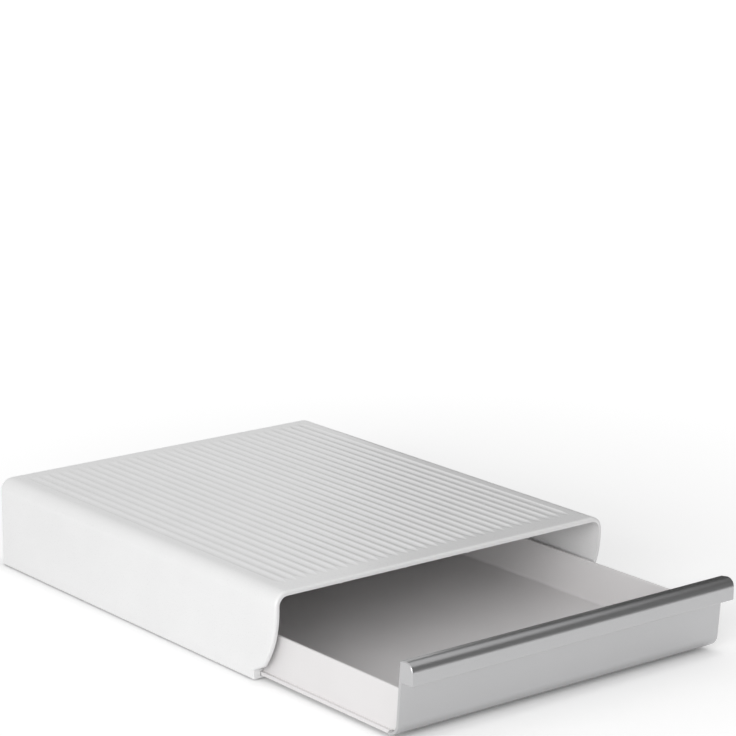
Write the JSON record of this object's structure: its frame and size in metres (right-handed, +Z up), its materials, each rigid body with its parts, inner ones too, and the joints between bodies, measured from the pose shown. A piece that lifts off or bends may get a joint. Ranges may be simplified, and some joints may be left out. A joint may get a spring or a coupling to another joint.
{
  "type": "coffee pod drawer",
  "caption": "Low countertop housing with a grooved deck and a shallow tray that slides out of its front on side runners, with a silver hooded pull front.",
  "frame": {"origin": "on the counter, at the middle of the whole object as stored, with the drawer half open", "axes": "+X to the right seen from the front, +Y from the front to the back, +Z up"},
  "size_m": [0.2674, 0.4488, 0.0622],
  "materials": {
    "white_abs": "injection moulded ABS, satin-gloss white",
    "warm_white_abs": "injection moulded ABS, satin white, slightly warm",
    "silver_paint": "ABS with a fine satin silver paint",
    "grey_rubber": "matte elastomer",
    "zinc_steel": "zinc-plated steel"
  },
  "bodies": {
    "housing": {"housing": "white_abs", "left_runner": "white_abs", "right_runner": "white_abs", "runner_screws": "zinc_steel", "foot_front_left": "grey_rubber", "foot_front_right": "grey_rubber", "foot_back_left": "grey_rubber", "foot_back_right": "grey_rubber", "left_bumper": "grey_rubber", "right_bumper": "grey_rubber"},
    "drawer": {"tray": "warm_white_abs", "front_panel": "silver_paint", "panel_screws": "zinc_steel"}
  },
  "joints": [
    {"name": "drawer_slide", "type": "slide", "parent": "housing", "child": "drawer", "axis": [0, -1, 0], "range_m": [-0.115, 0.115]}
  ]
}
